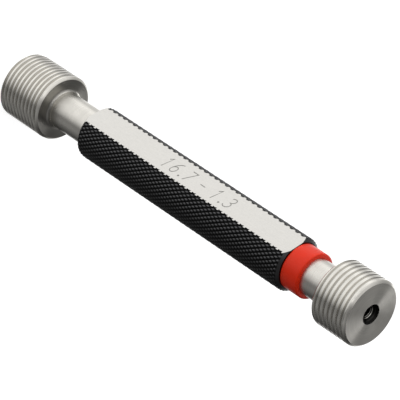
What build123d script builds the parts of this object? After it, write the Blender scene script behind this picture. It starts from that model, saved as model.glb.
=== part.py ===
from build123d import *
import math
import os

# Double-ended thread plug gauge, standing on its long GO end.
# The axis is Z, the origin is the centre of the GO end's face, and the
# engraved flat of the handle faces -Y. The plugs have the diameter of
# their thread crests, without the fine thread itself.

# GO plug: long, with the full thread diameter of the gauged size
go_crest_d = 16.66
go_length = 14.3
go_neck_length = 13.0

# NO-GO plug: short, with its crests ground lower
nogo_crest_cut = 0.14
nogo_length = 10.7
nogo_neck_length = 12.4

# Both plugs: chamfered ends
plug_chamfer = 0.6

# Necks, and the ground fillet and relief where each meets its plug
neck_d = 9.2
neck_fillet = 0.8
neck_relief_rise = 0.12
neck_relief_land = 0.1

# Ground shanks, bonded in reamed sockets of the handle
shank_d = 8.0
shank_length = 18.0
shank_chamfer = 0.5
socket_clearance = 0.01
socket_end_gap = 2.0
socket_mouth_chamfer = 0.2

# Centre holes for grinding: protecting rim, cone and pilot
centre_rim_d = 5.0
centre_cone_d = 4.4
centre_rim_depth = 0.35
centre_cone_angle = 60.0
centre_pilot_d = 1.6
centre_pilot_depth = 2.0

# Handle: knurled bar, at the diameter of the knurl's tips, with one ground flat
handle_d = 13.45
handle_length = 70.0
handle_chamfer = 0.8
flat_cut = 1.085

# Red ring that marks the NO-GO end, seated against the handle
ring_d = 11.3
ring_length = 5.3
ring_clearance = 0.02
ring_chamfer = 0.3

# Seats along the axis
handle_z = go_length + go_neck_length
handle_top_z = handle_z + handle_length
nogo_face_z = handle_top_z + nogo_neck_length + nogo_length

os.makedirs("parts", exist_ok=True)


def turn_plug(length, crest_d, neck_length):
    """Turned plug: face at 0, then fillet, relief, neck and shank, with its centre hole."""
    crest_r = crest_d / 2
    neck_r = neck_d / 2
    relief_r = neck_r + neck_relief_rise
    relief_z = length + neck_fillet
    shoulder_z = length + neck_length
    shank_end_z = shoulder_z + shank_length
    shank_r = shank_d / 2
    rim_r = centre_rim_d / 2
    cone_r = centre_cone_d / 2
    pilot_r = centre_pilot_d / 2
    cone_depth = (cone_r - pilot_r) / math.tan(math.radians(centre_cone_angle / 2))
    pilot_z = centre_rim_depth + cone_depth
    pilot_end_z = pilot_z + centre_pilot_depth
    with BuildPart() as plug:
        with BuildSketch(Plane.XZ):
            with BuildLine():
                Polyline(
                    (relief_r + neck_fillet, length),
                    (crest_r - plug_chamfer, length),
                    (crest_r, length - plug_chamfer),
                    (crest_r, plug_chamfer),
                    (crest_r - plug_chamfer, 0),
                    (rim_r, 0),
                    (cone_r, centre_rim_depth),
                    (pilot_r, pilot_z),
                    (pilot_r, pilot_end_z),
                    (0, pilot_end_z),
                    (0, shank_end_z),
                    (shank_r - shank_chamfer, shank_end_z),
                    (shank_r, shank_end_z - shank_chamfer),
                    (shank_r, shoulder_z),
                    (neck_r, shoulder_z),
                    (neck_r, relief_z + neck_relief_land),
                    (relief_r, relief_z + neck_relief_land),
                    (relief_r, relief_z),
                )
                RadiusArc((relief_r, relief_z), (relief_r + neck_fillet, length), -neck_fillet)
            make_face()
        revolve(axis=Axis.Z)
    return plug.part


with BuildPart() as go_plug:
    add(turn_plug(go_length, go_crest_d, go_neck_length))
go_plug.part.label = "go_plug"
export_step(go_plug.part, "parts/go_plug.step")

with BuildPart() as nogo_plug:
    with Locations(Location((0, 0, nogo_face_z), (180, 0, 0))):
        add(turn_plug(nogo_length, go_crest_d - 2 * nogo_crest_cut, nogo_neck_length))
nogo_plug.part.label = "nogo_plug"
export_step(nogo_plug.part, "parts/nogo_plug.step")

handle_r = handle_d / 2
socket_r = shank_d / 2 + socket_clearance
socket_depth = shank_length + socket_end_gap

with BuildPart() as handle:
    with Locations((0, 0, handle_z)):
        Cylinder(handle_r, handle_length, align=(Align.CENTER, Align.CENTER, Align.MIN))
    chamfer(handle.edges().filter_by(GeomType.CIRCLE), handle_chamfer)
    with BuildSketch(Plane.XY.offset(handle_z)):
        with Locations((0, flat_cut - handle_r)):
            Rectangle(handle_d, handle_d, align=(Align.CENTER, Align.MAX))
    extrude(amount=handle_length, mode=Mode.SUBTRACT)
    for mouth_z, inward in ((handle_z, 1), (handle_top_z, -1)):
        with BuildSketch(Plane.XZ):
            with BuildLine():
                Polyline(
                    (0, mouth_z),
                    (socket_r + socket_mouth_chamfer, mouth_z),
                    (socket_r, mouth_z + inward * socket_mouth_chamfer),
                    (socket_r, mouth_z + inward * socket_depth),
                    (0, mouth_z + inward * socket_depth),
                    close=True,
                )
            make_face()
        revolve(axis=Axis.Z, mode=Mode.SUBTRACT)
handle.part.label = "handle"
export_step(handle.part, "parts/handle.step")

with BuildPart() as nogo_ring:
    with BuildSketch(Plane.XY.offset(handle_top_z)):
        Circle(ring_d / 2)
        Circle(neck_d / 2 + ring_clearance, mode=Mode.SUBTRACT)
    extrude(amount=ring_length)
    outer_edges = nogo_ring.edges().filter_by(GeomType.CIRCLE).group_by(SortBy.RADIUS)[-1]
    chamfer(outer_edges, ring_chamfer)
nogo_ring.part.label = "nogo_ring"
export_step(nogo_ring.part, "parts/nogo_ring.step")
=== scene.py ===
"""Double-ended thread plug gauge on a plain pale floor."""

import math

import bmesh
import bpy
import numpy as np
from mathutils import Matrix, Vector
from mathutils.geometry import delaunay_2d_cdt


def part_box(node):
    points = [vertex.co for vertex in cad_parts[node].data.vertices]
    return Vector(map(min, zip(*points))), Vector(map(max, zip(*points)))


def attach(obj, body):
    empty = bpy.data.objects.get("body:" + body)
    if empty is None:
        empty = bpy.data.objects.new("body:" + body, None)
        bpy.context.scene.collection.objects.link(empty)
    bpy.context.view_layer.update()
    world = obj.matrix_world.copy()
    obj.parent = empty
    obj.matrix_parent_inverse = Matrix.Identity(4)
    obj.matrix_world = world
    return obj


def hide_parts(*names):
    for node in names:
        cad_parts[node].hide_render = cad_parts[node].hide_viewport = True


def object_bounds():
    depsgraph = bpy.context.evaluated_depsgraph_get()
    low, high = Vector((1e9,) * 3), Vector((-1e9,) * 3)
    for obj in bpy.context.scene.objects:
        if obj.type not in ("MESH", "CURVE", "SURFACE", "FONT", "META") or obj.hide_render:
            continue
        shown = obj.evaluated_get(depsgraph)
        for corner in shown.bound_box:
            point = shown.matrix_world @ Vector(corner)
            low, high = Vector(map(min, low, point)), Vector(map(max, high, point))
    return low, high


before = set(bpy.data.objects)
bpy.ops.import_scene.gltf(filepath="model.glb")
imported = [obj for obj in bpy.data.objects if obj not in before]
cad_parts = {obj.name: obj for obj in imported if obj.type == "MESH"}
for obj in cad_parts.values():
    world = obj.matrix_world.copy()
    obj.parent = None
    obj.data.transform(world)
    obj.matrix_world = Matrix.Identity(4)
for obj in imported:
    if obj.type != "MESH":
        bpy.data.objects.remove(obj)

bl_info = {
    "name": "Thread plug gauge",
    "version": (1, 0, 0),
    "blender": (4, 5, 0),
    "location": "View3D > Sidebar > Gauge",
    "description": "Builds a double-ended thread plug gauge round its packed solids",
    "category": "Object",
}

MM = 0.001
CAD_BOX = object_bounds()

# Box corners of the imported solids
GO_LOW, GO_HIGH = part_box("go_plug")
NOGO_LOW, NOGO_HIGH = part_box("nogo_plug")
HANDLE_LOW, HANDLE_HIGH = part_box("handle")
RING_LOW, RING_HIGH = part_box("nogo_ring")

# Outer radii of the handle and the ring
HANDLE_R = (HANDLE_HIGH.x - HANDLE_LOW.x) / 2
RING_R = (RING_HIGH.x - RING_LOW.x) / 2

# Points of a mesh that lie closer than this are one point
WELD = 1e-7

# Steps of a fillet or a rounded edge
ARC_STEPS = 8

# Angles, in degrees, from which the edges of each kind of piece are sharp
PLUG_SHARP, HANDLE_SHARP, RING_SHARP = 35.0, 32.0, 40.0


class GaugePlugSizes(bpy.types.PropertyGroup):
    """Sizes of the two threaded plugs, their necks, shanks and centre holes."""

    pitch: bpy.props.FloatProperty(
        name="Pitch", description="Distance from one thread crest to the next",
        default=25.4 * MM / 19, unit="LENGTH",
    )
    thread_angle: bpy.props.FloatProperty(
        name="Thread angle", description="Angle between the two flanks of a groove",
        default=math.radians(55.0), subtype="ANGLE",
    )
    go_length: bpy.props.FloatProperty(
        name="GO length", description="Length of the threaded GO head", default=14.3 * MM,
        unit="LENGTH",
    )
    nogo_length: bpy.props.FloatProperty(
        name="NO-GO length", description="Length of the threaded NO-GO head", default=10.7 * MM,
        unit="LENGTH",
    )
    chamfer: bpy.props.FloatProperty(
        name="Chamfer", description="Chamfer at both ends of each head", default=0.6 * MM,
        unit="LENGTH",
    )
    neck_d: bpy.props.FloatProperty(
        name="Neck", description="Diameter of the necks", default=9.2 * MM, unit="LENGTH"
    )
    neck_fillet: bpy.props.FloatProperty(
        name="Neck fillet", description="Radius where a neck meets its head", default=0.8 * MM,
        unit="LENGTH",
    )
    relief_rise: bpy.props.FloatProperty(
        name="Relief", description="Height of the small step after the fillet", default=0.12 * MM,
        unit="LENGTH",
    )
    shank_d: bpy.props.FloatProperty(
        name="Shank", description="Diameter of the shanks inside the handle", default=8.0 * MM,
        unit="LENGTH",
    )
    centre_rim_d: bpy.props.FloatProperty(
        name="Centre hole", description="Diameter of the centre hole at the face", default=5.0 * MM,
        unit="LENGTH",
    )
    centre_pilot_d: bpy.props.FloatProperty(
        name="Centre pilot", description="Diameter of the pilot hole at its bottom",
        default=1.6 * MM, unit="LENGTH",
    )
    steel: bpy.props.FloatVectorProperty(
        name="Ground steel", description="Colour of the plugs", default=(0.71, 0.688, 0.638),
        subtype="COLOR",
    )


class GaugeHandleSizes(bpy.types.PropertyGroup):
    """Sizes of the knurled handle, its flat and the numbers on it."""

    knurl_starts: bpy.props.IntProperty(
        name="Knurl starts", description="Number of knurl grooves that run each way round",
        default=40,
    )
    knurl_period: bpy.props.FloatProperty(
        name="Knurl period", description="Length of one knurl diamond along the handle",
        default=1.804 * MM, unit="LENGTH",
    )
    knurl_depth: bpy.props.FloatProperty(
        name="Knurl depth", description="Depth of the knurl grooves", default=0.25 * MM,
        unit="LENGTH",
    )
    chamfer: bpy.props.FloatProperty(
        name="Chamfer", description="Chamfer at the ends of the handle", default=0.8 * MM,
        unit="LENGTH",
    )
    digit_height: bpy.props.FloatProperty(
        name="Number height", description="Height of the engraved numbers", default=3.45 * MM,
        unit="LENGTH",
    )
    groove_width: bpy.props.FloatProperty(
        name="Engraving width", description="Width of the engraved strokes", default=0.26 * MM,
        unit="LENGTH",
    )
    numbers: bpy.props.StringProperty(
        name="Numbers", description="Plain numbers engraved on the flat", default="16.7 - 1.3"
    )
    black: bpy.props.FloatVectorProperty(
        name="Black oxide", description="Colour of the knurled steel", default=(0.04, 0.04, 0.041),
        subtype="COLOR",
    )
    flat_steel: bpy.props.FloatVectorProperty(
        name="Ground flat", description="Colour of the ground flat", default=(0.67, 0.655, 0.622),
        subtype="COLOR",
    )


class GaugeRingSizes(bpy.types.PropertyGroup):
    """Sizes and colour of the ring that marks the NO-GO end."""

    rounding: bpy.props.FloatProperty(
        name="Edge rounding", description="Radius of the outer edges of the ring",
        default=0.35 * MM, unit="LENGTH",
    )
    red: bpy.props.FloatVectorProperty(
        name="Red", description="Colour of the ring", default=(0.95, 0.031, 0.003), subtype="COLOR"
    )


def sizes_of(name):
    """One of the add-on's groups of sizes."""
    return getattr(bpy.context.scene, name)


def add_object(name, data):
    """A new object in the scene."""
    item = bpy.data.objects.new(name, data)
    bpy.context.scene.collection.objects.link(item)
    return item


def finish_mesh(shape, mesh, sharp_degrees):
    """Merges seams, turns the normals outward, marks sharp edges and writes the mesh."""
    bmesh.ops.remove_doubles(shape, verts=shape.verts, dist=WELD)
    bmesh.ops.dissolve_degenerate(shape, edges=shape.edges, dist=WELD)
    bmesh.ops.recalc_face_normals(shape, faces=shape.faces)
    limit = math.radians(sharp_degrees)
    for face in shape.faces:
        face.smooth = True
    for edge in shape.edges:
        kinds = {face.material_index for face in edge.link_faces}
        inside = len(edge.link_faces) == 2 and len(kinds) == 1
        edge.smooth = inside and edge.calc_face_angle(0.0) < limit
    shape.to_mesh(mesh)
    shape.free()


def mesh_piece(name, sheet, materials, sharp_degrees, work=None):
    """A closed mesh piece in the scene, made from a sheet by some work on it."""
    mesh = bpy.data.meshes.new(name)
    verts, faces = sheet
    mesh.from_pydata(verts, [], faces)
    for material in materials:
        mesh.materials.append(material)
    shape = bmesh.new()
    shape.from_mesh(mesh)
    if work:
        work(shape)
    finish_mesh(shape, mesh, sharp_degrees)
    return add_object(name, mesh)


def sort_faces(shape, kind_of):
    """Gives each face the place of its material, by its middle."""
    for face in shape.faces:
        face.material_index = kind_of(face.calc_center_median())


def sheet_between_rows(rows):
    """Vertices and faces of a sheet of rows, each a closed loop of the same number of points."""
    count = len(rows[0])
    verts = [point for row in rows for point in row]
    faces = []
    for i in range(len(rows) - 1):
        low, high = i * count, (i + 1) * count
        for k in range(count):
            after = (k + 1) % count
            faces.append((low + k, low + after, high + after, high + k))
    return verts, faces


def circle_row(radii, z, angles):
    """A loop of points at one height: one radius, or one for each angle."""
    radii = np.broadcast_to(radii, angles.shape)
    return [(r * math.cos(a), r * math.sin(a), z) for r, a in zip(radii, angles)]


def quarter_arc(radius):
    """A rounding's points, as distances from the two surfaces that it joins."""
    turns = np.linspace(0.0, math.pi / 2, ARC_STEPS + 1)
    return [(radius * (1 - math.sin(turn)), radius * (1 - math.cos(turn))) for turn in turns]


def join_sheets(sheets):
    """Several sheets as one list of vertices and one of faces."""
    verts, faces = [], []
    for sheet_verts, sheet_faces in sheets:
        start = len(verts)
        verts.extend(sheet_verts)
        faces.extend(tuple(start + i for i in face) for face in sheet_faces)
    return verts, faces


def dimmed(colour, share):
    """A colour at a share of its brightness."""
    return tuple(c * share for c in colour)


def principled_material(name, metallic=0.0):
    """A new material with nothing but a Principled shader, its node tree and that shader."""
    material = bpy.data.materials.new(name)
    material.use_nodes = True
    tree = material.node_tree
    tree.nodes.clear()
    output = tree.nodes.new("ShaderNodeOutputMaterial")
    shader = tree.nodes.new("ShaderNodeBsdfPrincipled")
    shader.inputs["Metallic"].default_value = metallic
    tree.links.new(shader.outputs["BSDF"], output.inputs["Surface"])
    return material, tree, shader


def set_inputs(tree, node, values):
    """Sets a node's inputs by name or place, where a value that is a socket is linked."""
    for name, value in values.items():
        if isinstance(value, bpy.types.NodeSocket):
            tree.links.new(value, node.inputs[name])
        else:
            node.inputs[name].default_value = value


def paint(tree, shader, colour, roughness):
    """Gives a shader its colour and roughness."""
    set_inputs(tree, shader, {"Base Color": colour, "Roughness": roughness})


def node_of(tree, kind, inputs, output=0, **settings):
    """A new node with its settings and inputs, as one of its output sockets."""
    node = tree.nodes.new("ShaderNode" + kind)
    for name, value in settings.items():
        setattr(node, name, value)
    set_inputs(tree, node, inputs)
    return node.outputs[output]


def math_node(tree, operation, first, second=0.5):
    """A Math node whose inputs are numbers or sockets, as its output socket."""
    return node_of(tree, "Math", {0: first, 1: second}, operation=operation)


def map_range(tree, value, low, high, to_low=0.0, to_high=1.0):
    """A clamped Map Range node, as its output socket."""
    inputs = {"Value": value, "From Min": low, "From Max": high}
    inputs.update({"To Min": to_low, "To Max": to_high})
    return node_of(tree, "MapRange", inputs, "Result")


def mix_colours(tree, factor, first, second):
    """A colour mix of two colours or sockets, as its output socket."""
    inputs = {"Factor": factor}
    for name, value in (("A", first), ("B", second)):
        inputs[name] = (*value, 1.0) if isinstance(value, tuple) else value
    return node_of(tree, "Mix", inputs, "Result", data_type="RGBA")


def colour_ramp(tree, share, stops):
    """A ramp through stops, each a position and a colour, as its colour socket."""
    node = tree.nodes.new("ShaderNodeValToRGB")
    tree.links.new(share, node.inputs["Fac"])
    elements = node.color_ramp.elements
    for position, _ in stops[1:-1]:
        elements.new(position)
    for element, (position, colour) in zip(elements, stops):
        element.position = position
        element.color = (*colour, 1.0)
    return node.outputs["Color"]


def noise_of(tree, vector, scale, detail=2.0, roughness=0.5):
    """A Noise texture over a vector, as its value socket."""
    inputs = {"Vector": vector, "Scale": scale, "Detail": detail, "Roughness": roughness}
    return node_of(tree, "TexNoise", inputs, "Fac")


# Middle of a noise's range, over which a look goes from one end to the other
NOISE_LOW, NOISE_HIGH = 0.3, 0.7


def noise_share(tree, noise, to_low=0.0, to_high=1.0):
    """The middle of a noise's range, stretched between two values."""
    return map_range(tree, noise, NOISE_LOW, NOISE_HIGH, to_low, to_high)


def axis_distance(tree, vector):
    """Distance from the gauge's axis as a value socket, and the node that splits the vector."""
    split = tree.nodes.new("ShaderNodeSeparateXYZ")
    tree.links.new(vector, split.inputs[0])
    across = math_node(tree, "MULTIPLY", split.outputs["X"], split.outputs["X"])
    up = math_node(tree, "MULTIPLY", split.outputs["Y"], split.outputs["Y"])
    return math_node(tree, "SQRT", math_node(tree, "ADD", across, up)), split


# Group of turned marks: its name and its sockets
MARKS_GROUP = "Turned marks"
MARKS_SOCKETS = (
    ("Vector", "INPUT", "NodeSocketVector"),
    ("Marks per mm", "INPUT", "NodeSocketFloat"),
    ("Marks", "OUTPUT", "NodeSocketFloat"),
    ("Blotches", "OUTPUT", "NodeSocketFloat"),
    ("Radius", "OUTPUT", "NodeSocketFloat"),
)


def turned_marks_group():
    """Fine marks that run round the gauge's axis: rings on faces, hoops on cylinders."""
    if MARKS_GROUP in bpy.data.node_groups:
        return bpy.data.node_groups[MARKS_GROUP]
    group = bpy.data.node_groups.new(MARKS_GROUP, "ShaderNodeTree")
    for name, side, kind in MARKS_SOCKETS:
        group.interface.new_socket(name, in_out=side, socket_type=kind)
    source, result = group.nodes.new("NodeGroupInput"), group.nodes.new("NodeGroupOutput")
    radius, split = axis_distance(group, source.outputs["Vector"])
    turn = math_node(group, "ARCTAN2", split.outputs["Y"], split.outputs["X"])
    per_metre = math_node(group, "MULTIPLY", source.outputs["Marks per mm"], 1 / MM)
    across = math_node(group, "MULTIPLY", radius, per_metre)
    along = math_node(group, "MULTIPLY", split.outputs["Z"], per_metre)
    lines = node_of(group, "CombineXYZ", {"X": across, "Y": along, "Z": turn})
    marks = noise_of(group, lines, 1.0, 3.0, 0.6)
    blotches = noise_of(group, source.outputs["Vector"], 0.4 / MM, 3.0, 0.55)
    set_inputs(group, result, {"Marks": marks, "Blotches": blotches, "Radius": radius})
    return group


def object_vector(tree):
    """Positions in the gauge's own frame."""
    return node_of(tree, "TexCoord", {}, "Object")


def turned_marks(tree, marks_per_mm):
    """The group of turned marks over the gauge's own positions: marks, blotches and radius."""
    node = tree.nodes.new("ShaderNodeGroup")
    node.node_tree = turned_marks_group()
    set_inputs(tree, node, {"Vector": object_vector(tree), "Marks per mm": marks_per_mm})
    return node.outputs


def bump_into(tree, shader, height, distance, strength):
    """A Bump node from a height socket into a shader's normal."""
    inputs = {"Height": height, "Distance": distance, "Strength": strength}
    set_inputs(tree, shader, {"Normal": node_of(tree, "Bump", inputs)})


# Turned steels of the plugs: share of the plugs' colour, roughness from and to, brushing,
# marks per mm and depth of the marks
TURNED_STEELS = {
    "ground_steel": (1.0, (0.24, 0.32), 0.8, 12.0, 0.003 * MM),
    "faced_steel": (1.0, (0.36, 0.44), 0.95, 9.0, 0.003 * MM),
    # The shoulder steel is dimmed as painted shade on the heads' inner faces and most of each
    # fillet
    "shoulder_steel_painted_shade": (0.6, (0.28, 0.34), 0.85, 6.0, 0.003 * MM),
    "threaded_steel": (1.0, (0.15, 0.21), 0.8, 12.0, 0.002 * MM),
}

# Shares of the steel's brightness left in its marks, and in the thread's grooves as painted shade
MARK_SHADE = 0.84
GROOVE_PAINTED_SHADE = 0.72

# How strongly a bump tilts the surface: turned, ground or knurled, and moulded
TURNED_BUMP = 0.5
FINE_BUMP = 0.4
MOULDED_BUMP = 0.2


def turned_steel_material(name, colour, groove=None):
    """Steel turned or ground round the axis, whose gloss spreads across its marks, with painted
    shade deep in a thread's grooves where their depths are given.
    """
    share, roughness, brushed, marks_per_mm, mark_depth = TURNED_STEELS[name]
    steel = dimmed(colour, share)
    material, tree, shader = principled_material(name, metallic=1.0)
    marks, blotches, radius = turned_marks(tree, marks_per_mm)
    shade = noise_share(tree, marks)
    tone = mix_colours(tree, shade, dimmed(steel, MARK_SHADE), steel)
    # Painted shade: the steel darkens towards the bottoms of the thread's grooves
    if groove:
        height = map_range(tree, radius, *groove)
        tone = mix_colours(tree, height, dimmed(steel, GROOVE_PAINTED_SHADE), tone)
    paint(tree, shader, tone, noise_share(tree, blotches, *roughness))
    tangent = node_of(tree, "Tangent", {}, direction_type="RADIAL", axis="Z")
    gloss = {"Anisotropic": brushed, "Anisotropic Rotation": 0.25, "Tangent": tangent}
    set_inputs(tree, shader, gloss)
    bump_into(tree, shader, marks, mark_depth, TURNED_BUMP)
    return material


# Bright rings left in the scale of the centre holes: distance from the axis in mm, and
# the share of bare steel there
SCALE_RINGS = (
    (0.8, 0.01), (1.41, 0.01), (1.44, 0.4), (1.47, 0.4), (1.49, 0.01), (1.6, 0.01), (1.62, 0.9),
    (1.66, 0.9), (1.68, 0.01), (1.94, 0.01), (2.0, 0.05), (2.06, 0.01), (2.5, 0.01),
)


def heat_scale_material(colour):
    """Dark scale from hardening, left in the centre holes, with a few turned rings bare."""
    material, tree, shader = principled_material("heat_scale", metallic=1.0)
    marks, blotches, radius = turned_marks(tree, 12.0)
    first, last = SCALE_RINGS[0][0] * MM, SCALE_RINGS[-1][0] * MM
    stops = [
        ((distance * MM - first) / (last - first), dimmed(colour, bare))
        for distance, bare in SCALE_RINGS
    ]
    tone = colour_ramp(tree, map_range(tree, radius, first, last), stops)
    paint(tree, shader, tone, noise_share(tree, blotches, 0.2, 0.3))
    bump_into(tree, shader, marks, 0.003 * MM, TURNED_BUMP)
    return material


def ground_flat_material(colour):
    """The bright flat, surface ground along the handle with a faint speckle."""
    material, tree, shader = principled_material("ground_flat", metallic=1.0)
    place = object_vector(tree)
    scale = (9.0 / MM, 1.0 / MM, 0.5 / MM)
    stretched = node_of(tree, "Mapping", {"Vector": place, "Scale": scale})
    lines = noise_of(tree, stretched, 1.0, 3.0, 0.6)
    speckle = noise_of(tree, place, 3.5 / MM, 2.0, 0.6)
    both = math_node(tree, "MULTIPLY", math_node(tree, "ADD", lines, speckle), 0.5)
    shade = map_range(tree, both, 0.38, 0.62)
    tone = mix_colours(tree, shade, dimmed(colour, 0.88), colour)
    paint(tree, shader, tone, map_range(tree, both, 0.35, 0.65, 0.3, 0.42))
    bump_into(tree, shader, both, 0.006 * MM, FINE_BUMP)
    return material


def engraved_material(colour):
    """Bottom of the engraved strokes, darker than the flat."""
    material, tree, shader = principled_material("engraved_strokes", metallic=1.0)
    grain = noise_of(tree, object_vector(tree), 12.0 / MM)
    tone = mix_colours(tree, grain, dimmed(colour, 0.4), dimmed(colour, 0.65))
    paint(tree, shader, tone, 0.5)
    return material


# Black oxide on the knurl: brightness left in the grooves, darkened by dirt and painted shade, and
# gained on the rubbed tips, and the depths below the tips, as shares of the knurl's, between which
# each is reached
KNURL_GROOVE_DIRT_AND_PAINTED_SHADE = 0.12
OXIDE_TIP_SHADE = 2.7
KNURL_DIRT_AND_SHADE_DEPTHS = (0.95, 0.3)
OXIDE_TIP_DEPTH = 0.65


def black_oxide_material(colour, depth):
    """Black oxide on knurled steel: grooves darkened to dead black by dirt and painted shade, and
    tips rubbed lighter.
    """
    material, tree, shader = principled_material("black_oxide", metallic=1.0)
    place = object_vector(tree)
    radius = axis_distance(tree, place)[0]
    grain = noise_of(tree, place, 5.0 / MM, 3.0, 0.6)
    uneven = math_node(tree, "MULTIPLY", math_node(tree, "SUBTRACT", grain, 0.5), depth * 0.4)
    height = math_node(tree, "ADD", radius, uneven)
    low, high = (HANDLE_R - depth * share for share in KNURL_DIRT_AND_SHADE_DEPTHS)
    slope = map_range(tree, height, low, high)
    tip = map_range(tree, height, HANDLE_R - depth * OXIDE_TIP_DEPTH, HANDLE_R)
    # Dirt and painted shade: the knurl darkens towards the bottoms of its grooves
    side = mix_colours(tree, slope, dimmed(colour, KNURL_GROOVE_DIRT_AND_PAINTED_SHADE), colour)
    tone = mix_colours(tree, tip, side, dimmed(colour, OXIDE_TIP_SHADE))
    paint(tree, shader, tone, map_range(tree, tip, 0.0, 1.0, 0.34, 0.26))
    bump_into(tree, shader, grain, 0.006 * MM, FINE_BUMP)
    return material


def smooth_oxide_material(colour):
    """Black oxide on the smooth turned ends of the handle and in its sockets."""
    material, tree, shader = principled_material("smooth_black_oxide", metallic=1.0)
    marks, blotches, _ = turned_marks(tree, 8.0)
    shade = noise_share(tree, marks)
    tone = mix_colours(tree, shade, dimmed(colour, 1.1), dimmed(colour, 1.5))
    paint(tree, shader, tone, noise_share(tree, blotches, 0.26, 0.36))
    bump_into(tree, shader, marks, 0.003 * MM, TURNED_BUMP)
    return material


def gloss_red_material(colour):
    """Red plastic with a soft gloss and a faint moulded unevenness."""
    material, tree, shader = principled_material("ring_red")
    place = object_vector(tree)
    cloud = noise_of(tree, place, 0.5 / MM, 3.0)
    tone = mix_colours(tree, cloud, dimmed(colour, 0.86), colour)
    paint(tree, shader, tone, noise_share(tree, cloud, 0.3, 0.4))
    shader.inputs["Specular IOR Level"].default_value = 0.25
    bump_into(tree, shader, noise_of(tree, place, 2.5 / MM), 0.01 * MM, MOULDED_BUMP)
    return material


# Angular steps round a plug
PLUG_STEPS = 160
PLUG_ANGLES = np.arange(PLUG_STEPS) * (2 * math.pi / PLUG_STEPS)

# Whitworth form: the rounding's radius at crest and root as a share of the pitch
ROUNDING_SHARE = 0.137329
ROUNDING_STEPS = 4

# How near a head's ends a groove's middle gets, and the height over which it runs out there
RUN_OUT_END = 0.55 * MM
RUN_OUT_HEIGHT = 0.3 * MM

# How far the GO crests are ground below the full thread form
GO_CREST_CUT = 0.3 * MM

# Height of a groove's middle on the +X side, from the floor
GO_GROOVE_Z = -0.06 * MM
NOGO_GROOVE_Z = 112.51 * MM

# Depths below the NO-GO crests between which the threaded steel darkens, as painted shade, towards
# the groove bottoms
GROOVE_PAINTED_SHADE_DEPTHS = (0.4 * MM, 0.15 * MM)

# Centre hole: its rim, cone and pilot, and the turned steps in its cone as the radii
# between which each one lies
RIM_DEPTH = 0.35 * MM
RIM_SLOPE = 0.3 * MM
CENTRE_HALF_ANGLE = math.radians(30.0)
CENTRE_STEPS = ((1.42 * MM, 1.49 * MM), (1.58 * MM, 1.7 * MM))
STEP_HALF_ANGLE = math.radians(43.0)
PILOT_DEPTH = 2.0 * MM

# Rings of faces between a centre hole's rim and the head's edge, and how far in from the
# crests the last of them starts, in chamfers
FACE_RINGS = 3
FACE_INSET = 2.0

# Fillet, of which the share next to the relief keeps the full steel colour and the rest is dimmed
# as painted shade, relief and shank
FILLET_SHARE_WITHOUT_PAINTED_SHADE = 0.15
RELIEF_LAND = 0.1 * MM
SHANK_CHAMFER = 0.5 * MM

# Places in a plug's list of materials, and how close to a plane a face lies in it
GROUND, FACED, SCALE, SHOULDER, THREADED = range(5)
IN_PLANE = 0.001 * MM


class ThreadedHead:
    """The threaded surface of one plug: where it lies and how far it stands from the axis."""

    def __init__(self, low, high, groove_z, crest_r, full_r, sizes):
        self.low = low
        self.high = high
        self.groove_z = groove_z
        self.crest_r = crest_r
        self.full_r = full_r
        self.pitch = sizes.pitch
        self.chamfer = sizes.chamfer
        self.lead = sizes.pitch * PLUG_ANGLES / (2 * math.pi)
        self.steps, self.depths = self.groove_profile(sizes.thread_angle)

    def groove_profile(self, angle):
        """Steps across one pitch from a groove's middle, and the depth below the crest at each."""
        rounding = ROUNDING_SHARE * self.pitch
        turns = (math.pi / 2 - angle / 2) * np.arange(ROUNDING_STEPS + 1) / ROUNDING_STEPS
        depth = self.pitch / 2 / math.tan(angle / 2) * 2 / 3
        root = rounding * np.sin(turns)
        root_depth = depth - rounding * (1 - np.cos(turns))
        crest = self.pitch / 2 - root[::-1]
        crest_depth = rounding * (1 - np.cos(turns[::-1]))
        half = np.concatenate([root, crest])
        half_depth = np.concatenate([root_depth, crest_depth])
        steps = np.concatenate([-half[:0:-1], half])
        return steps, np.concatenate([half_depth[:0:-1], half_depth])

    def row_heights(self):
        """Heights on the +X side of the rows along the thread, past both ends, and rows a turn."""
        cut = self.full_r - self.crest_r
        half = self.steps[len(self.steps) // 2:]
        half_depth = self.depths[len(self.depths) // 2:]
        edge = float(np.interp(-cut, -half_depth, half))
        flank = (half[ROUNDING_STEPS] + half[ROUNDING_STEPS + 1]) / 2
        one_turn = np.unique(np.concatenate([self.steps[1:], [-edge, edge, -flank, flank]]))
        first = math.floor((self.low - self.groove_z) / self.pitch) - 2
        last = math.ceil((self.high - self.groove_z) / self.pitch) + 2
        turns = np.arange(first, last) * self.pitch + self.groove_z
        return (turns[:, None] + one_turn[None, :]).ravel(), len(one_turn)

    def radius(self, z):
        """Radii at heights z, one for each angle, of the thread within its crests and chamfers."""
        half = self.pitch / 2
        across = (z - self.lead - self.groove_z + half) % self.pitch - half
        form = self.full_r - np.interp(across, self.steps, self.depths)
        cut = np.maximum(self.crest_r - form, 0.0)
        middle = z - across
        from_end = np.minimum(middle - self.low, self.high - middle)
        whole = np.clip((from_end - RUN_OUT_END) / RUN_OUT_HEIGHT, 0.0, 1.0)
        chamfered = self.crest_r - self.chamfer + np.minimum(z - self.low, self.high - z)
        return np.minimum(self.crest_r - cut * whole, chamfered)

    def sheet(self):
        """Vertices and faces of the threaded surface from end to end."""
        heights, per_turn = self.row_heights()
        z = np.clip(heights[:, None] + self.lead[None, :], self.low, self.high)
        radius = self.radius(z)
        x, y = radius * np.cos(PLUG_ANGLES), radius * np.sin(PLUG_ANGLES)
        points = np.stack([x, y, z], axis=-1).reshape(-1, 3).tolist()
        faces = []
        for i in range(len(heights) - 1):
            for k in range(PLUG_STEPS - 1):
                a = i * PLUG_STEPS + k
                faces.append((a, a + 1, a + 1 + PLUG_STEPS, a + PLUG_STEPS))
        for i in range(len(heights) - 1 - per_turn):
            a = i * PLUG_STEPS + PLUG_STEPS - 1
            b = (i + per_turn) * PLUG_STEPS
            faces.append((a, b, b + PLUG_STEPS, a + PLUG_STEPS))
        return points, faces


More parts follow.
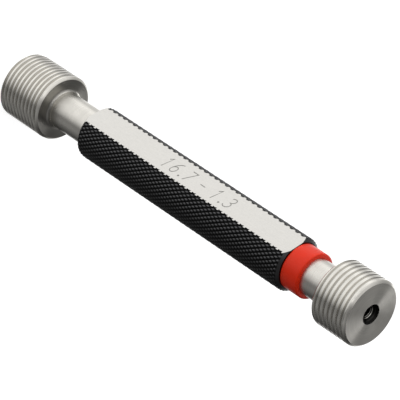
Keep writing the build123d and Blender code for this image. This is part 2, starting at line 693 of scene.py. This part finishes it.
def plug_piece(name, node, box, direction, length, shoulder, groove_z, materials):
    """A whole plug: face with centre hole, threaded head, fillet, relief, neck and shank."""
    sizes = sizes_of("gauge_plugs")
    low, high = box
    face_z = low.z if direction > 0 else high.z
    inner_z = face_z + direction * length
    shank_end = high.z - low.z
    crest_r = (high.x - low.x) / 2
    full_r = (GO_HIGH.x - GO_LOW.x) / 2 + GO_CREST_CUT
    ends = sorted((face_z, inner_z))
    head = ThreadedHead(*ends, groove_z, crest_r, full_r, sizes)
    face_r = crest_r - FACE_INSET * sizes.chamfer
    neck_r = sizes.neck_d / 2
    relief_r = neck_r + sizes.relief_rise
    relief_z = length + sizes.neck_fillet
    unshaded_fillet_r = relief_r + FILLET_SHARE_WITHOUT_PAINTED_SHADE * sizes.neck_fillet
    shank_r = sizes.shank_d / 2
    rim_r = sizes.centre_rim_d / 2
    cone_r = rim_r - RIM_SLOPE
    pilot_r = sizes.centre_pilot_d / 2

    def cone_z(radius):
        return RIM_DEPTH + (cone_r - radius) / math.tan(CENTRE_HALF_ANGLE)

    pilot_z = cone_z(pilot_r)
    pilot_end = pilot_z + PILOT_DEPTH

    def row(radii, local_z):
        return circle_row(radii, face_z + direction * local_z, PLUG_ANGLES)

    def head_row(z, local_z):
        return row(head.radius(np.full(PLUG_STEPS, z)), local_z)

    front = [row(0.0, pilot_end), row(pilot_r, pilot_end), row(pilot_r, pilot_z)]
    for step_r, top_r in CENTRE_STEPS:
        slope_z = cone_z(top_r) + (top_r - step_r) / math.tan(STEP_HALF_ANGLE)
        front += [row(step_r, cone_z(step_r)), row(step_r, slope_z), row(top_r, cone_z(top_r))]
    front.append(row(cone_r, RIM_DEPTH))
    for ring in range(FACE_RINGS + 1):
        front.append(row(rim_r + (face_r - rim_r) * ring / FACE_RINGS, 0.0))
    front.append(head_row(face_z, 0.0))
    back = [head_row(inner_z, length), row(face_r, length)]
    for outward, along in quarter_arc(sizes.neck_fillet):
        back.append(row(relief_r + outward, length + along))
    for radius, local_z in (
        (relief_r, relief_z + RELIEF_LAND),
        (neck_r, relief_z + RELIEF_LAND),
        (neck_r, shoulder),
        (shank_r, shoulder),
        (shank_r, shank_end - SHANK_CHAMFER),
        (shank_r - SHANK_CHAMFER, shank_end),
        (0.0, shank_end),
    ):
        back.append(row(radius, local_z))
    sheet = join_sheets([sheet_between_rows(front), head.sheet(), sheet_between_rows(back)])

    def kind_of(middle):
        radius, inward = math.hypot(middle.x, middle.y), abs(middle.z - face_z)
        if radius < rim_r and inward < pilot_end + IN_PLANE:
            return SCALE
        if inward < IN_PLANE:
            return FACED
        # Painted shade: the head's inner face and the fillet's outer part take the dimmed shoulder
        # steel
        on_fillet = length < inward < relief_z and unshaded_fillet_r < radius < face_r
        if abs(middle.z - inner_z) < IN_PLANE or on_fillet:
            return SHOULDER
        return THREADED if radius > face_r else GROUND

    def work(shape):
        sort_faces(shape, kind_of)

    piece = mesh_piece(name, sheet, materials, PLUG_SHARP, work)
    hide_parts(node)
    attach(piece, "root")
    return piece


class GAUGE_OT_plugs(bpy.types.Operator):
    """Builds the threaded GO and NO-GO plugs"""

    bl_idname = "gauge.plugs"
    bl_label = "Threaded plugs"

    def execute(self, context):
        sizes = sizes_of("gauge_plugs")
        colour = tuple(sizes.steel)
        crest_r = (NOGO_HIGH.x - NOGO_LOW.x) / 2
        # Radii between which the threaded steel takes its painted groove shade
        groove = [crest_r - depth for depth in GROOVE_PAINTED_SHADE_DEPTHS]
        steels = [
            turned_steel_material("ground_steel", colour),
            turned_steel_material("faced_steel", colour),
            heat_scale_material(colour),
            turned_steel_material("shoulder_steel_painted_shade", colour),
            turned_steel_material("threaded_steel", colour, groove),
        ]
        go_box, nogo_box = (GO_LOW, GO_HIGH), (NOGO_LOW, NOGO_HIGH)
        go_seat = (sizes.go_length, HANDLE_LOW.z - GO_LOW.z, GO_GROOVE_Z)
        nogo_seat = (sizes.nogo_length, NOGO_HIGH.z - HANDLE_HIGH.z, NOGO_GROOVE_Z)
        plug_piece("go_thread_plug", "go_plug", go_box, 1, *go_seat, steels)
        plug_piece("nogo_thread_plug", "nogo_plug", nogo_box, -1, *nogo_seat, steels)
        return {"FINISHED"}


# One knurl period: steps across it as shares, and how high each stands between bottom and
# tip in the two families, of which one is rolled less deep
KNURL_STEPS = (-0.44, -0.17, 0.0, 0.17, 0.44)
KNURL_LEVELS_RIGHT = (0.12, 0.86, 1.0, 0.86, 0.12)
KNURL_LEVELS_LEFT = (0.0, 0.85, 1.0, 0.85, 0.0)

# Where the knurl starts: phases of its two families, and their shared origin
KNURL_TIP_RIGHT = 1.433
KNURL_TIP_LEFT = 2.452
KNURL_ORIGIN_Z = 64.3 * MM
KNURL_ORIGIN_TURN = math.radians(-54.0)

# Extra rings of edges across a chamfer of the handle, as shares of it, and how far below
# its cone a face still counts as smooth
CHAMFER_CUTS = (1.0, 0.85, 0.7, 0.55, 0.4, 0.2)
CHAMFER_SLACK = 0.03 * MM

# Ends of the handle, each with the way into it
HANDLE_ENDS = ((HANDLE_LOW.z, 1), (HANDLE_HIGH.z, -1))

# Sockets in the handle's ends
SOCKET_CLEARANCE = 0.01 * MM
SOCKET_END_GAP = 2.0 * MM
SOCKET_MOUTH = 0.2 * MM
SOCKET_STEPS = 96
SOCKET_ANGLES = np.arange(SOCKET_STEPS) * (2 * math.pi / SOCKET_STEPS)

# Places in the handle's list of materials
KNURLED, FLAT, STROKES, SMOOTH = range(4)


def knurl_sheet(sizes):
    """The knurled cylinder as a lattice whose lines follow both families of grooves."""
    per = len(KNURL_STEPS)
    around = sizes.knurl_starts * per
    turn_per_z = 2 * math.pi / sizes.knurl_period
    first = math.floor(((HANDLE_LOW.z - KNURL_ORIGIN_Z) * turn_per_z / math.pi - 3) * per)
    last = math.ceil(((HANDLE_HIGH.z - KNURL_ORIGIN_Z) * turn_per_z / math.pi + 1) * per)
    verts, faces, index_of = [], [], {}

    def vertex(i, j):
        wraps = (j - i) // (2 * around)
        i, j = i + wraps * around, j - wraps * around
        if (i, j) not in index_of:
            right = 2 * math.pi * (i // per + KNURL_STEPS[i % per]) + KNURL_TIP_RIGHT
            left = 2 * math.pi * (j // per + KNURL_STEPS[j % per]) + KNURL_TIP_LEFT
            z = KNURL_ORIGIN_Z + (right + left) / 2 / turn_per_z
            turn = (left - right) / (2 * sizes.knurl_starts) + KNURL_ORIGIN_TURN
            level = min(KNURL_LEVELS_RIGHT[i % per], KNURL_LEVELS_LEFT[j % per])
            r = HANDLE_R - sizes.knurl_depth * (1.0 - level)
            index_of[(i, j)] = len(verts)
            verts.append((r * math.cos(turn), r * math.sin(turn), z))
        return index_of[(i, j)]

    for total in range(first, last):
        for apart in range(total % 2, 2 * around, 2):
            i, j = (total - apart) // 2, (total + apart) // 2
            corners = ((i, j), (i + 1, j), (i + 1, j + 1), (i, j + 1))
            faces.append([vertex(*corner) for corner in corners])
    return verts, faces


# Distances within which points lie on a cutting plane, or are one in a triangulation
ON_PLANE = 1e-8
TRIANGLE_WELD = 1e-9


def cut_plane(shape, point, normal, keep_all=False):
    """Cuts the mesh at a plane, drops what lies in front of it, and returns the cut's edges."""
    cut = bmesh.ops.bisect_plane(
        shape,
        geom=shape.verts[:] + shape.edges[:] + shape.faces[:],
        dist=ON_PLANE,
        plane_co=point,
        plane_no=normal,
        clear_outer=not keep_all,
    )
    return [item for item in cut["geom_cut"] if isinstance(item, bmesh.types.BMEdge)]


def fill_outline(shape, edges, to_plane, from_plane, extra_points, extra_edges, hole_r=0.0):
    """Fills an outline with triangles through extra points, but for a hole round the axis."""
    corners = list({v for edge in edges for v in edge.verts})
    place = {v: i for i, v in enumerate(corners)}
    points = [Vector(to_plane(v.co)) for v in corners] + [Vector(p) for p in extra_points]
    shift = len(corners)
    lines = [(place[edge.verts[0]], place[edge.verts[1]]) for edge in edges]
    lines += [(a + shift, b + shift) for a, b in extra_edges]
    filling = delaunay_2d_cdt(points, lines, [], 1, TRIANGLE_WELD)
    out_points, _, out_faces, origins, _, _ = filling
    made = []
    for point, origin in zip(out_points, origins):
        known = [i for i in origin if i < shift]
        made.append(corners[known[0]] if known else shape.verts.new(from_plane(point)))
    filled = []
    for face in out_faces:
        middle = sum((out_points[i] for i in face), Vector((0.0, 0.0))) / len(face)
        if middle.length > hole_r:
            filled.append((shape.faces.new([made[i] for i in face]), middle))
    return filled


def cap_end(shape, end, hole_r):
    """Closes an end of the handle round its socket."""
    edges = [
        edge
        for edge in shape.edges
        if edge.is_boundary and abs(edge.verts[0].co.z - end) < ON_PLANE
    ]
    ring = [point[:2] for point in circle_row(hole_r, end, SOCKET_ANGLES)]
    ring_edges = [(i, (i + 1) % SOCKET_STEPS) for i in range(SOCKET_STEPS)]
    fill_outline(
        shape,
        edges,
        lambda co: (co.x, co.y),
        lambda point: (point.x, point.y, end),
        ring,
        ring_edges,
        hole_r * math.cos(math.pi / SOCKET_STEPS),
    )


# Single-stroke numbers in a cell one high: lists of points, or arcs as
# (middle across, middle up, half width, half height, first degree, last degree)
GLYPHS = {
    "0": [(0.27, 0.5, 0.25, 0.5, 0, 360)],
    "1": [[(0.12, 0.82), (0.3, 1.0), (0.3, 0.0)]],
    "2": [(0.27, 0.74, 0.24, 0.26, 170, -30), [(0.48, 0.61), (0.03, 0.0), (0.53, 0.0)]],
    "3": [(0.26, 0.76, 0.23, 0.24, 140, -90), (0.25, 0.26, 0.27, 0.26, 90, -150)],
    "4": [[(0.42, 0.0), (0.42, 1.0), (0.02, 0.3), (0.56, 0.3)]],
    "5": [[(0.5, 1.0), (0.11, 1.0), (0.07, 0.56)], (0.25, 0.32, 0.27, 0.32, 130, -140)],
    "6": [(0.27, 0.29, 0.24, 0.29, 0, 360), (0.5, 0.29, 0.47, 0.71, 95, 180)],
    "7": [[(0.04, 1.0), (0.52, 1.0), (0.18, 0.0)]],
    "8": [(0.27, 0.76, 0.2, 0.24, 0, 360), (0.27, 0.26, 0.25, 0.26, 0, 360)],
    "9": [(0.27, 0.71, 0.24, 0.29, 0, 360), (0.04, 0.71, 0.47, 0.71, -85, 0)],
    "-": [[(0.08, 0.45), (0.46, 0.45)]],
    ".": [(0.13, 0.04, 0.045, 0.045, 0, 360)],
    " ": [],
}
GLYPH_ADVANCES = {".": 0.42, "-": 0.83, " ": 0.48}
DIGIT_ADVANCE = 0.9
GLYPH_SLANT = 0.2
ARC_DEGREES = 15.0

# Middle of the numbers along the handle, and of their height across the flat
NUMBERS_Z = 64.9 * MM
NUMBERS_X = 0.1 * MM

# Depth of the strokes, and the share of it from which a face counts as part of one
ENGRAVED_DEPTH = 0.08 * MM
STROKE_SHARE = 0.05


def engraved_strokes(sizes):
    """The numbers' strokes on the flat, as lists of points (x, z)."""
    strokes, start = [], 0.0
    for letter in sizes.numbers:
        for stroke in GLYPHS[letter]:
            if isinstance(stroke, tuple):
                across, up, wide, high, first, last = stroke
                count = max(2, round(abs(last - first) / ARC_DEGREES))
                turns = np.radians(np.linspace(first, last, count + 1))
                stroke = [(across + wide * math.cos(t), up + high * math.sin(t)) for t in turns]
            strokes.append([(start + u + GLYPH_SLANT * v, v) for u, v in stroke])
        start += GLYPH_ADVANCES.get(letter, DIGIT_ADVANCE)
    size = sizes.digit_height
    start_z = NUMBERS_Z - start * size / 2
    return [
        [Vector((NUMBERS_X - (v - 0.5) * size, start_z + u * size)) for u, v in stroke]
        for stroke in strokes
    ]


def distance_to_stroke(point, stroke):
    """Distance from a point to a stroke's line."""
    nearest = math.inf
    for a, b in zip(stroke, stroke[1:]):
        along = b - a
        share = min(1.0, max(0.0, (point - a).dot(along) / along.length_squared))
        nearest = min(nearest, (point - a - along * share).length)
    return nearest


def stroke_outline(stroke, half_width):
    """Points and edges round a stroke and along its middle."""
    closed = (stroke[0] - stroke[-1]).length < WELD
    line = stroke[:-1] if closed else stroke
    count = len(line)
    left, right = [], []
    for k, point in enumerate(line):
        before = line[k - 1] if k or closed else line[0]
        after = line[(k + 1) % count] if k < count - 1 or closed else line[-1]
        into = (point - before).normalized() if point != before else (after - point).normalized()
        out = (after - point).normalized() if point != after else into
        along = (into + out).normalized()
        side = Vector((-along.y, along.x)) * half_width / max(0.5, along.dot(into))
        past = Vector((0.0, 0.0))
        if point == before:
            past = -out * half_width
        elif point == after:
            past = into * half_width
        left.append(point + side + past)
        right.append(point - side + past)
    points = left + line + right
    rows = [list(range(k * count, (k + 1) * count)) for k in range(3)]
    edges = []
    for row in rows:
        edges += list(zip(row, row[1:]))
        if closed:
            edges.append((row[-1], row[0]))
    if not closed:
        edges += [(rows[0][0], rows[2][0]), (rows[0][-1], rows[2][-1])]
    return points, edges


def engrave_flat(shape, edges, sizes):
    """Closes the flat, with the numbers sunk into it as shallow V grooves."""
    strokes = engraved_strokes(sizes)
    half = sizes.groove_width / 2
    points, lines = [], []
    for stroke in strokes:
        outline, outline_edges = stroke_outline(stroke, half)
        lines += [(a + len(points), b + len(points)) for a, b in outline_edges]
        points += outline

    def sunk(point):
        nearest = min(distance_to_stroke(point, stroke) for stroke in strokes)
        return max(0.0, 1.0 - nearest / half)

    def on_flat(point):
        return (point.x, HANDLE_LOW.y + ENGRAVED_DEPTH * sunk(point), point.y)

    filled = fill_outline(shape, edges, lambda co: (co.x, co.z), on_flat, points, lines)
    for face, middle in filled:
        face.material_index = STROKES if sunk(middle) > STROKE_SHARE else FLAT


def handle_cone(z, chamfer):
    """Radius of the chamfers' cones at a height, measured from the nearer end."""
    return HANDLE_R - chamfer + max(0.0, min(z - HANDLE_LOW.z, HANDLE_HIGH.z - z))


def cut_ends(shape, chamfer):
    """Cuts the knurl to length and pulls its ends in to the chamfers' cones."""
    for end, inward in HANDLE_ENDS:
        for share in CHAMFER_CUTS:
            place = (0, 0, end + inward * chamfer * share)
            cut_plane(shape, place, (0, 0, -inward), keep_all=True)
        cut_plane(shape, (0, 0, end), (0, 0, -inward))
    for vertex in shape.verts:
        co = vertex.co
        radius = math.hypot(co.x, co.y)
        cone_r = handle_cone(co.z, chamfer)
        if radius > cone_r:
            scale = cone_r / radius
            vertex.co = (co.x * scale, co.y * scale, co.z)


def end_or_knurl(middle, chamfer):
    """Smooth for a face on a chamfer, on an end or in a socket, and knurled for any other."""
    radius = math.hypot(middle.x, middle.y)
    on_chamfer = radius > handle_cone(middle.z, chamfer) - CHAMFER_SLACK
    return SMOOTH if on_chamfer or radius < HANDLE_R - chamfer else KNURLED


def add_sockets(shape, socket_r):
    """Adds the walls and bottoms of the sockets."""
    depth = GO_HIGH.z - HANDLE_LOW.z + SOCKET_END_GAP
    for end, inward in HANDLE_ENDS:
        rows = [
            circle_row(radius, end + inward * down, SOCKET_ANGLES)
            for radius, down in (
                (socket_r + SOCKET_MOUTH, 0.0),
                (socket_r, SOCKET_MOUTH),
                (socket_r, depth),
                (0.0, depth),
            )
        ]
        verts, faces = sheet_between_rows(rows)
        made = [shape.verts.new(v) for v in verts]
        for face in faces:
            shape.faces.new([made[i] for i in face])


class GAUGE_OT_handle(bpy.types.Operator):
    """Builds the knurled handle with its ground and engraved flat"""

    bl_idname = "gauge.handle"
    bl_label = "Knurled handle"

    def execute(self, context):
        sizes = sizes_of("gauge_handle")
        socket_r = sizes_of("gauge_plugs").shank_d / 2 + SOCKET_CLEARANCE
        black, flat_steel = tuple(sizes.black), tuple(sizes.flat_steel)
        materials = [
            black_oxide_material(black, sizes.knurl_depth),
            ground_flat_material(flat_steel),
            engraved_material(flat_steel),
            smooth_oxide_material(black),
        ]

        def work(shape):
            cut_ends(shape, sizes.chamfer)
            for end, _ in HANDLE_ENDS:
                cap_end(shape, end, socket_r + SOCKET_MOUTH)
            add_sockets(shape, socket_r)
            bmesh.ops.remove_doubles(shape, verts=shape.verts, dist=WELD)
            flat_edges = cut_plane(shape, (0, HANDLE_LOW.y, 0), (0, -1, 0))
            sort_faces(shape, lambda middle: end_or_knurl(middle, sizes.chamfer))
            engrave_flat(shape, flat_edges, sizes)

        piece = mesh_piece("knurled_handle", knurl_sheet(sizes), materials, HANDLE_SHARP, work)
        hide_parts("handle")
        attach(piece, "root")
        return {"FINISHED"}


# Ring: points round it, and its room on the neck
RING_STEPS = 192
RING_ANGLES = np.arange(RING_STEPS) * (2 * math.pi / RING_STEPS)
RING_CLEARANCE = 0.02 * MM


class GAUGE_OT_ring(bpy.types.Operator):
    """Builds the red ring that marks the NO-GO end"""

    bl_idname = "gauge.ring"
    bl_label = "Red ring"

    def execute(self, context):
        sizes = sizes_of("gauge_ring")
        inner_r = sizes_of("gauge_plugs").neck_d / 2 + RING_CLEARANCE
        low, high, corner = RING_LOW.z, RING_HIGH.z, quarter_arc(sizes.rounding)
        profile = [(inner_r, low)]
        profile += [(RING_R - inward, low + along) for inward, along in corner]
        profile += [(RING_R - inward, high - along) for inward, along in reversed(corner)]
        profile += [(inner_r, high), (inner_r, low)]
        sheet = sheet_between_rows([circle_row(r, z, RING_ANGLES) for r, z in profile])
        red = gloss_red_material(tuple(sizes.red))
        piece = mesh_piece("red_ring", sheet, [red], RING_SHARP)
        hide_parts("nogo_ring")
        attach(piece, "root")
        return {"FINISHED"}


# Camera: its target, which way its picture's right and down point, distance, lens and clip
CAMERA_TARGET = Vector((-0.03 * MM, -0.08 * MM, 64.24 * MM))
CAMERA_RIGHT = Vector((-0.74799, 0.08536, 0.65821))
CAMERA_DOWN = Vector((0.47352, 0.76353, 0.43909))
CAMERA_DISTANCE = 610.5 * MM
CAMERA_LENS = 240.2
CAMERA_CLIP = 10.0 * MM

# Level directions from the gauge: towards the camera, and to the picture's lower side
TOWARDS_CAMERA = (0.5878, -0.809, 0.0)
TOWARDS_LOWER_SIDE = (0.809, 0.5878, 0.0)

# Directions round the gauge, in degrees from the camera's side, and the studio's
# brightness there at three heights (as the sine of the elevation), lowest first
STUDIO_DEGREES = (-180, -150, -120, -90, -60, -30, -5, 20, 45, 75, 105, 140, 180)
STUDIO_HEIGHTS = (-0.6, 0.2, 0.7)
STUDIO_LIGHT = (
    (1.74, 1.2, 0.72, 1.45, 1.2, 1.32, 1.27, 0.91, 0.27, 0.31, 0.14, 0.02, 1.74),
    (0.72, 0.42, 0.65, 1.37, 1.21, 0.64, 0.2, 0.02, 0.01, 0.01, 0.02, 0.1, 0.72),
    (0.02, 0.03, 0.45, 0.91, 1.19, 1.4, 1.59, 0.66, 0.36, 0.4, 0.34, 0.08, 0.02),
)
OVERHEAD_LIGHT = 0.06
STUDIO_STRENGTH = 2.0
FLOOR_GLOW = 0.75
BACKDROP = 0.98

# Soft side light: degrees round the gauge from the camera's side and above the floor,
# distance and width in metres, and power in watts
SIDE_LIGHT = (-165, 10, 0.8, 0.42, 1.5)

# Half the floor's width, and the range of its pale colour
FLOOR_HALF = 3.0
FLOOR_SHADES = (0.86, 0.9)


def grey(level):
    """A colour that is the same in red, green and blue."""
    return (level,) * 3


def studio_ramp(tree, share, levels):
    """One level of the studio's brightness round the gauge, as a colour socket."""
    stops = [
        ((degrees + 180) / 360, grey(level / STUDIO_STRENGTH))
        for degrees, level in zip(STUDIO_DEGREES, levels)
    ]
    return colour_ramp(tree, share, stops)


def studio_world():
    """A soft studio whose brightness changes round the gauge and with height."""
    world = bpy.data.worlds.new("studio")
    world.use_nodes = True
    tree = world.node_tree
    direction = node_of(tree, "TexCoord", {}, "Generated")
    forward, down = (
        node_of(tree, "VectorMath", {0: direction, 1: axis}, "Value", operation="DOT_PRODUCT")
        for axis in (TOWARDS_CAMERA, TOWARDS_LOWER_SIDE)
    )
    turn = math_node(tree, "ARCTAN2", down, forward)
    share = map_range(tree, turn, -math.pi, math.pi)
    height = node_of(tree, "SeparateXYZ", {0: direction}, "Z")
    light = studio_ramp(tree, share, STUDIO_LIGHT[0])
    for low, high, levels in zip(STUDIO_HEIGHTS, STUDIO_HEIGHTS[1:], STUDIO_LIGHT[1:]):
        above = studio_ramp(tree, share, levels)
        light = mix_colours(tree, map_range(tree, height, low, high), light, above)
    top = map_range(tree, height, STUDIO_HEIGHTS[-1], 1.0)
    light = mix_colours(tree, top, light, grey(OVERHEAD_LIGHT / STUDIO_STRENGTH))
    seen = node_of(tree, "LightPath", {}, "Is Camera Ray")
    light = mix_colours(tree, seen, light, grey(BACKDROP / STUDIO_STRENGTH))
    set_inputs(tree, tree.nodes["Background"], {"Color": light, "Strength": STUDIO_STRENGTH})
    bpy.context.scene.world = world


def side_light():
    """A soft round light behind the gauge, whose gloss draws sectors on the turned faces."""
    turn, rise, distance, width, power = SIDE_LIGHT
    turn, rise = math.radians(turn), math.radians(rise)
    towards = Vector(TOWARDS_CAMERA) * math.cos(turn)
    towards += Vector(TOWARDS_LOWER_SIDE) * math.sin(turn)
    towards = towards * math.cos(rise) + Vector((0.0, 0.0, math.sin(rise)))
    middle = Vector((0.0, 0.0, (CAD_BOX[0][2] + CAD_BOX[1][2]) / 2))
    data = bpy.data.lights.new("side_light", "AREA")
    data.shape = "DISK"
    data.size = width
    data.energy = power
    light = add_object("side_light", data)
    light.location = middle + towards * distance
    light.rotation_euler = towards.to_track_quat("Z", "Y").to_euler()
    light.visible_camera = False


def pale_floor():
    """A wide pale floor that stays evenly light."""
    mesh = bpy.data.meshes.new("floor")
    corners = ((-1, -1), (1, -1), (1, 1), (-1, 1))
    verts = [(x * FLOOR_HALF, y * FLOOR_HALF, 0.0) for x, y in corners]
    mesh.from_pydata(verts, [], [(0, 1, 2, 3)])
    material, tree, shader = principled_material("pale_floor")
    cloud = noise_of(tree, object_vector(tree), 3.0)
    pale = mix_colours(tree, cloud, *(grey(shade) for shade in FLOOR_SHADES))
    paint(tree, shader, pale, 0.9)
    glow = {"Emission Color": (1.0, 1.0, 1.0, 1.0), "Emission Strength": FLOOR_GLOW}
    set_inputs(tree, shader, glow)
    mesh.materials.append(material)
    floor = add_object("floor", mesh)
    floor.visible_glossy = False
    floor.visible_diffuse = False


class GAUGE_OT_stage(bpy.types.Operator):
    """Sets up the camera, the pale floor and the soft studio light"""

    bl_idname = "gauge.stage"
    bl_label = "Stage and camera"

    def execute(self, context):
        data = bpy.data.cameras.new("camera")
        data.lens = CAMERA_LENS
        data.clip_start = CAMERA_CLIP
        camera = add_object("camera", data)
        back = CAMERA_RIGHT.cross(-CAMERA_DOWN).normalized()
        up = back.cross(CAMERA_RIGHT).normalized()
        turn = Matrix((CAMERA_RIGHT.normalized(), up, back)).transposed()
        place = Matrix.Translation(CAMERA_TARGET + back * CAMERA_DISTANCE)
        camera.matrix_world = place @ turn.to_4x4()
        bpy.context.scene.camera = camera
        bpy.context.scene.view_settings.view_transform = "Standard"
        studio_world()
        side_light()
        pale_floor()
        return {"FINISHED"}


class GAUGE_PT_panel(bpy.types.Panel):
    """Lists the gauge's pieces and its sizes"""

    bl_idname = "GAUGE_PT_panel"
    bl_label = "Thread plug gauge"
    bl_space_type = "VIEW_3D"
    bl_region_type = "UI"
    bl_category = "Gauge"

    def draw(self, context):
        for operator in OPERATORS:
            self.layout.operator(operator.bl_idname)
        for name in SIZE_GROUPS:
            group = sizes_of(name)
            box = self.layout.box()
            for size in group.bl_rna.properties.keys():
                if size not in ("rna_type", "name"):
                    box.prop(group, size)


OPERATORS = (GAUGE_OT_plugs, GAUGE_OT_handle, GAUGE_OT_ring, GAUGE_OT_stage)
SIZE_GROUPS = {
    "gauge_plugs": GaugePlugSizes,
    "gauge_handle": GaugeHandleSizes,
    "gauge_ring": GaugeRingSizes,
}
CLASSES = (*SIZE_GROUPS.values(), *OPERATORS, GAUGE_PT_panel)


def register():
    for item in CLASSES:
        bpy.utils.register_class(item)
    for name, group in SIZE_GROUPS.items():
        setattr(bpy.types.Scene, name, bpy.props.PointerProperty(type=group))


def unregister():
    for name in SIZE_GROUPS:
        delattr(bpy.types.Scene, name)
    for item in reversed(CLASSES):
        bpy.utils.unregister_class(item)


def main():
    register()
    bpy.ops.gauge.plugs()
    bpy.ops.gauge.handle()
    bpy.ops.gauge.ring()
    bpy.ops.gauge.stage()


if __name__ == "__main__":
    main()
